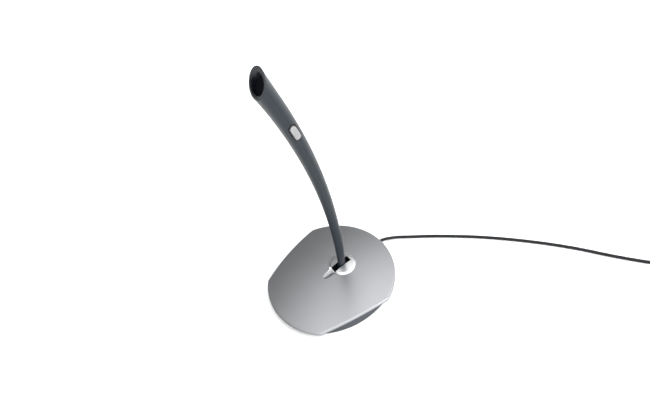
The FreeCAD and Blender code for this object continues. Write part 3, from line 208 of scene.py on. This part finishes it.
CORD_DIAMETER = 0.0026
CORD_ROUTE = (
    (0.0, 0.0535, 0.0036),
    (0.001, 0.058, 0.0034),
    (0.0028, 0.0625, 0.0026),
    (0.0072, 0.0695, 0.0017),
    (0.0145, 0.077, 0.0014),
    (0.031, 0.094, 0.0014),
    (0.066, 0.125, 0.0014),
    (0.1132, 0.158, 0.0014),
    (0.1567, 0.1806, 0.0014),
)
COIL_CENTRE = (0.183, 0.221)
COIL_MEAN_RADIUS = 0.0156
COIL_PITCH = 0.00265
COIL_COLUMNS = 4
COIL_LAYERS = 4
COIL_BOTTOM = 0.00195       # height of the lowest turns' centreline
ENTRY_ANGLE = -57.0         # where the lead meets the outer turn
EXIT_ANGLE = 35.7           # where it leaves the top outer turn
SHIFT_SPAN = 30.0           # degrees in which a turn moves to the next column or layer
FIRST_SHIFT = 243.0         # degrees, where the bottom layer's turns shift
POINTS_PER_TURN = 24
TAIL_RUNS = ((0.008, -0.0004), (0.017, -0.0036), (0.025, -0.0055))


def coil_column(column):
    return COIL_MEAN_RADIUS + (column - (COIL_COLUMNS - 1) / 2) * COIL_PITCH


def eased(share):
    share = min(1.0, max(0.0, share))
    return share * share * (3.0 - 2.0 * share)


def coil_moves():
    """Angle at which each move starts, with the change in column and in layer."""
    moves = []
    crossing = 0
    for layer in range(COIL_LAYERS):
        inward = -1 if layer % 2 == 0 else 1
        zone = FIRST_SHIFT - layer * SHIFT_SPAN
        for _ in range(COIL_COLUMNS - 1):
            moves.append((zone + 360.0 * crossing, inward, 0))
            crossing += 1
        if layer < COIL_LAYERS - 1:
            moves.append((zone - SHIFT_SPAN / 2 + 360.0 * crossing, 0, 1))
            crossing += 1
    return moves, crossing


def coil_points():
    """Control points of the wound lead: each turn lies a pitch beside or above the last."""
    moves, crossings = coil_moves()
    sweep = EXIT_ANGLE + 360.0 * crossings - ENTRY_ANGLE
    count = round(sweep * POINTS_PER_TURN / 360.0)
    step = sweep / count
    swell = 1.0 / math.cos(math.radians(step / 2))
    points = []
    for index in range(count):
        angle = ENTRY_ANGLE + (index + 0.5) * step
        column = COIL_COLUMNS - 1
        layer = 0
        for start, across, up in moves:
            share = eased((angle - start) / SHIFT_SPAN)
            column += across * share
            layer += up * share
        radius = coil_column(column) * swell
        turn = math.radians(angle)
        points.append((
            COIL_CENTRE[0] + radius * math.cos(turn),
            COIL_CENTRE[1] + radius * math.sin(turn),
            COIL_BOTTOM + layer * COIL_PITCH,
        ))
    return points


def tail_points():
    turn = math.radians(EXIT_ANGLE)
    radius = coil_column(COIL_COLUMNS - 1)
    top = COIL_BOTTOM + (COIL_LAYERS - 1) * COIL_PITCH
    x = COIL_CENTRE[0] + radius * math.cos(turn)
    y = COIL_CENTRE[1] + radius * math.sin(turn)
    return [
        (x - run * math.sin(turn), y + run * math.cos(turn), top + drop) for run, drop in TAIL_RUNS
    ]


def make_cord():
    points = list(CORD_ROUTE) + coil_points() + tail_points()
    curve = bpy.data.curves.new("lead", "CURVE")
    curve.dimensions = "3D"
    curve.bevel_depth = CORD_DIAMETER / 2
    curve.bevel_resolution = 4
    curve.resolution_u = 6
    curve.use_fill_caps = True
    spline = curve.splines.new("NURBS")
    spline.points.add(len(points) - 1)
    for point, place in zip(spline.points, points):
        point.co = (*place, 1.0)
    spline.order_u = 3
    spline.use_endpoint_u = True
    lead = bpy.data.objects.new("lead", curve)
    bpy.context.scene.collection.objects.link(lead)
    paint(lead, "lead_jacket")
    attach(lead, "base")
    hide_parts("cord_tube", "cord_coil", "cord_tail")
    bpy.context.view_layer.update()
    on_cord = [nodes[name] for name in ("cable_gland", "jack_contacts", "jack_insulators")]
    on_cord += [make_tie(), make_plug_relief(), make_plug_grip()]


# ------------------------------------------------------------------ turned and moulded details

TURN_STEPS = 48
HARD_ANGLE = math.radians(32.0)     # edges sharper than this stay hard
BEVEL_STEPS = 3
PLUG_TURN = math.radians(90.0 + EXIT_ANGLE)
RELIEF_LENGTH = 0.009
RELIEF_START = 0.0015       # its radii on the lead and at the grip
RELIEF_END = 0.0026
RELIEF_RIBS = 6
RIB_DEPTH = 0.0004
RIB_SOFTNESS = 0.0001
RIB_FROM = 0.15             # shares of the ribs' pitch where a rib starts and ends
RIB_TO = 0.8
GRIP_LENGTH = 0.020
GRIP_RADIUS = 0.0043
SHOULDER_STEPS = 6
FRONT_STEPS = 4
GRIP_RINGS = (0.0035, 0.0055, 0.0075)   # finger grooves, from the grip's back
RING_WIDTH = 0.0009
RING_DEPTH = 0.00035
COLLAR_LENGTH = 0.0012
COLLAR_RADIUS = 0.0032
FOOT_REACH = 0.044
FOOT_ANGLES = (24.0, 141.0)
FOOT_FORM = (               # radius and height, from the middle of the face
    (0.0029, 0.0), (0.0030, 0.0002), (0.0035, 0.0002), (0.0036, 0.0), (0.0045, 0.0),
    (0.0048, 0.0001), (0.0050, 0.0004), (0.0050, 0.0015),
)
TIE_ANGLE = math.radians(170.0)
TIE_THICKNESS = 0.0006
TIE_HALF_WIDTH = 0.002
TIE_EDGE = 0.00012
TIE_CORNER_STEPS = 6
TIE_HEAD = (0.0032, 0.0056, 0.0050)
TIE_HEAD_HEIGHT = 0.0062
TIE_HEAD_EDGE = 0.0005
TIE_END = (0.0040, 0.0036, 0.0008)
TIE_END_EDGE = 0.0002
TIE_END_SUNK = 0.001        # length of the strap's end inside the head


def piece_from(name, form, place=None):
    """Object from a finished bmesh, with its hard edges kept."""
    bmesh.ops.recalc_face_normals(form, faces=form.faces)
    mesh = bpy.data.meshes.new(name)
    form.to_mesh(mesh)
    form.free()
    if place is not None:
        mesh.transform(place)
    mesh.shade_smooth()
    mesh.set_sharp_from_angle(angle=HARD_ANGLE)
    piece = bpy.data.objects.new(name, mesh)
    bpy.context.scene.collection.objects.link(piece)
    return piece


def spin(form, profile):
    """Turn (length, radius) pairs about the X axis and close both ends."""
    rings = []
    for length, radius in profile:
        ring = []
        for step in range(TURN_STEPS):
            turn = 2.0 * math.pi * step / TURN_STEPS
            ring.append(form.verts.new((length, radius * math.cos(turn), radius * math.sin(turn))))
        rings.append(ring)
    for first, second in zip(rings, rings[1:]):
        for step in range(TURN_STEPS):
            after = (step + 1) % TURN_STEPS
            form.faces.new((first[step], first[after], second[after], second[step]))
    form.faces.new(rings[0])
    form.faces.new(rings[-1])


def settle(piece, slot, *replaced):
    paint(piece, slot)
    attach(piece, "base")
    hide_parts(*replaced)


def plug_place():
    return Matrix.Translation(Vector(tail_points()[-1])) @ Matrix.Rotation(PLUG_TURN, 4, "Z")


def make_plug_relief():
    """Tapered sleeve with ribs, stiffer towards the grip."""
    pitch = RELIEF_LENGTH / RELIEF_RIBS
    profile = []
    for rib in range(RELIEF_RIBS):
        start = rib * pitch
        share = (rib + 0.5) / RELIEF_RIBS
        radius = RELIEF_START + share * (RELIEF_END - RELIEF_START)
        core = max(radius - RIB_DEPTH, CORD_DIAMETER / 2 + RIB_SOFTNESS)
        profile += [
            (start, core),
            (start + RIB_FROM * pitch, core),
            (start + RIB_FROM * pitch + RIB_SOFTNESS, radius - RIB_SOFTNESS),
            (start + RIB_FROM * pitch + 2 * RIB_SOFTNESS, radius),
            (start + RIB_TO * pitch - RIB_SOFTNESS, radius),
            (start + RIB_TO * pitch, radius - RIB_SOFTNESS),
            (start + RIB_TO * pitch + RIB_SOFTNESS, core),
        ]
    profile.append((RELIEF_LENGTH, RELIEF_END))
    form = bmesh.new()
    spin(form, profile)
    piece = piece_from("plug_relief_ribbed", form, plug_place())
    settle(piece, "plug_plastic", "plug_relief")
    return piece


def make_plug_grip():
    """Moulded grip with three finger grooves, a soft back shoulder and a front collar."""
    start = RELIEF_LENGTH
    end = start + GRIP_LENGTH
    shoulder = GRIP_RADIUS - RELIEF_END
    profile = []
    for step in range(SHOULDER_STEPS + 1):
        turn = math.pi / 2 * step / SHOULDER_STEPS
        profile.append((
            start + shoulder * (1.0 - math.cos(turn)),
            RELIEF_END + shoulder * math.sin(turn),
        ))
    for place in GRIP_RINGS:
        middle = start + place
        profile += [
            (middle - RING_WIDTH / 2, GRIP_RADIUS),
            (middle - RING_WIDTH / 4, GRIP_RADIUS - RING_DEPTH),
            (middle + RING_WIDTH / 4, GRIP_RADIUS - RING_DEPTH),
            (middle + RING_WIDTH / 2, GRIP_RADIUS),
        ]
    for step in range(FRONT_STEPS + 1):
        turn = math.pi / 2 * step / FRONT_STEPS
        profile.append((
            end - shoulder / 2 * (1.0 - math.sin(turn)),
            GRIP_RADIUS - shoulder / 2 * (1.0 - math.cos(turn)),
        ))
    profile += [
        (end, COLLAR_RADIUS),
        (end + COLLAR_LENGTH - RIB_SOFTNESS, COLLAR_RADIUS),
        (end + COLLAR_LENGTH, COLLAR_RADIUS - RIB_SOFTNESS),
    ]
    form = bmesh.new()
    spin(form, profile)
    piece = piece_from("plug_grip", form, plug_place())
    settle(piece, "plug_plastic", "plug_body")
    return piece


def make_feet():
    """Four rubber feet with a soft edge and a ring groove in the face."""
    form = bmesh.new()
    for angle in FOOT_ANGLES:
        for side in (-1, 1):
            turn = math.radians(angle)
            spot = Vector((side * FOOT_REACH * math.sin(turn), -FOOT_REACH * math.cos(turn), 0.0))
            known = set(form.verts)
            spin(form, [(height, radius) for radius, height in FOOT_FORM])
            place = Matrix.Translation(spot) @ Matrix.Rotation(-math.pi / 2, 4, "Y")
            added = [vert for vert in form.verts if vert not in known]
            bmesh.ops.transform(form, matrix=place, verts=added)
    settle(piece_from("rubber_feet_ringed", form), "black_rubber", "rubber_feet")


def soft_block(form, size, middle, edge):
    """Block with rounded edges."""
    corners = bmesh.ops.create_cube(form, size=1.0)["verts"]
    bmesh.ops.scale(form, vec=size, verts=corners)
    bmesh.ops.translate(form, vec=middle, verts=corners)
    edges = list({side for corner in corners for side in corner.link_edges})
    bmesh.ops.bevel(
        form, geom=edges, offset=edge, segments=BEVEL_STEPS, profile=0.5, affect="EDGES",
    )


def make_tie():
    """Strap round the bundle with a ratchet head and the strap's short end."""
    inner = coil_column(0)
    outer = coil_column(COIL_COLUMNS - 1)
    low = COIL_BOTTOM
    high = COIL_BOTTOM + (COIL_LAYERS - 1) * COIL_PITCH
    reach = CORD_DIAMETER / 2
    section = (
        (0.0, -TIE_HALF_WIDTH + TIE_EDGE),
        (0.0, TIE_HALF_WIDTH - TIE_EDGE),
        (TIE_EDGE, TIE_HALF_WIDTH),
        (TIE_THICKNESS - TIE_EDGE, TIE_HALF_WIDTH),
        (TIE_THICKNESS, TIE_HALF_WIDTH - TIE_EDGE),
        (TIE_THICKNESS, -TIE_HALF_WIDTH + TIE_EDGE),
        (TIE_THICKNESS - TIE_EDGE, -TIE_HALF_WIDTH),
        (TIE_EDGE, -TIE_HALF_WIDTH),
    )
    form = bmesh.new()
    rings = []
    for corner, (x, z) in enumerate(((outer, high), (inner, high), (inner, low), (outer, low))):
        for step in range(TIE_CORNER_STEPS + 1):
            turn = math.pi / 2 * (corner + step / TIE_CORNER_STEPS)
            across, up = math.cos(turn), math.sin(turn)
            rings.append([
                form.verts.new((x + (reach + out) * across, side, z + (reach + out) * up))
                for out, side in section
            ])
    for first, second in zip(rings, rings[1:] + rings[:1]):
        for step in range(len(section)):
            after = (step + 1) % len(section)
            form.faces.new((first[step], first[after], second[after], second[step]))
    face = outer + reach + TIE_THICKNESS
    soft_block(form, TIE_HEAD, (face + TIE_HEAD[0] / 2, 0.0, TIE_HEAD_HEIGHT), TIE_HEAD_EDGE)
    end = face + TIE_HEAD[0] + TIE_END[0] / 2 - TIE_END_SUNK
    soft_block(form, TIE_END, (end, 0.0, TIE_HEAD_HEIGHT), TIE_END_EDGE)
    place = Matrix.Translation(Vector((*COIL_CENTRE, 0.0))) @ Matrix.Rotation(TIE_ANGLE, 4, "Z")
    piece = piece_from("coil_tie_strap", form, place)
    settle(piece, "tie_plastic", "coil_tie")
    return piece


# ------------------------------------------------------------------ stage and light

FLOOR_REACH = 12.0
FLOOR_CELLS = 40
FLOOR_DROP = 0.0002         # keeps the sheet just clear of the feet
FLOOR_SHADE = 0.90
FLOOR_FLAT = 0.5            # share of the reach that is flat
FLOOR_RISE = 4.2
LIGHT_SPOT = (0.9, 0.45, 0.55)
LIGHT_AIM = (0.0, 0.0, 0.05)
LIGHT_SIZE = (0.35, 0.5)
LIGHT_POWER = 5.0
STUDIO_BRIGHT_SIDE = (0.59, 0.20, 0.78)
STUDIO_DIM_AT = 0.12        # cosines of the angle to the bright side
STUDIO_BRIGHT_AT = 0.74
STUDIO_DIM = 0.10
STUDIO_BRIGHT = 2.9


def make_floor():
    """Flat pale sheet that sweeps up far from the microphone, as a studio's backdrop does."""
    mesh = bpy.data.meshes.new("floor")
    form = bmesh.new()
    bmesh.ops.create_grid(form, x_segments=FLOOR_CELLS, y_segments=FLOOR_CELLS, size=FLOOR_REACH)
    for vert in form.verts:
        past = max(0.0, vert.co.length / FLOOR_REACH - FLOOR_FLAT)
        vert.co.z = FLOOR_RISE * past ** 2
    form.to_mesh(mesh)
    form.free()
    floor = bpy.data.objects.new("floor", mesh)
    floor.location.z = -FLOOR_DROP
    bpy.context.scene.collection.objects.link(floor)
    material = bpy.data.materials.new("floor")
    material.use_nodes = True
    shader = material.node_tree.nodes["Principled BSDF"]
    shader.inputs["Base Color"].default_value = (FLOOR_SHADE, FLOOR_SHADE, FLOOR_SHADE, 1.0)
    shader.inputs["Roughness"].default_value = 0.9
    shader.inputs["Specular IOR Level"].default_value = 0.1
    mesh.materials.append(material)


def make_light():
    """One soft light to the right."""
    data = bpy.data.lights.new("right", "AREA")
    data.shape = "RECTANGLE"
    data.size, data.size_y = LIGHT_SIZE
    data.energy = LIGHT_POWER
    light = bpy.data.objects.new("right", data)
    light.location = LIGHT_SPOT
    direction = Vector(LIGHT_AIM) - Vector(LIGHT_SPOT)
    light.rotation_euler = direction.to_track_quat("-Z", "Y").to_euler()
    bpy.context.scene.collection.objects.link(light)


def make_world():
    """A studio that is brightest overhead and to the right, and dims towards the far left."""
    world = bpy.data.worlds.new("studio")
    bpy.context.scene.world = world
    world.use_nodes = True
    tree = world.node_tree
    direction = tree.nodes.new("ShaderNodeTexCoord").outputs["Generated"]
    toward = tree.nodes.new("ShaderNodeVectorMath")
    toward.operation = "DOT_PRODUCT"
    toward.inputs[1].default_value = STUDIO_BRIGHT_SIDE
    connect(tree, direction, toward.inputs[0])
    glow = tree.nodes.new("ShaderNodeMapRange")
    glow.interpolation_type = "SMOOTHSTEP"
    glow.inputs["From Min"].default_value = STUDIO_DIM_AT
    glow.inputs["From Max"].default_value = STUDIO_BRIGHT_AT
    glow.inputs["To Min"].default_value = STUDIO_DIM
    glow.inputs["To Max"].default_value = STUDIO_BRIGHT
    connect(tree, toward.outputs["Value"], glow.inputs["Value"])
    background = tree.nodes["Background"]
    background.inputs["Color"].default_value = (1.0, 1.0, 1.0, 1.0)
    connect(tree, glow.outputs["Result"], background.inputs["Strength"])


bpy.context.scene.view_settings.view_transform = "Standard"
make_camera()
paint_nodes()
make_cord()
make_feet()
make_floor()
make_world()
make_light()

bpy.context.view_layer.update()
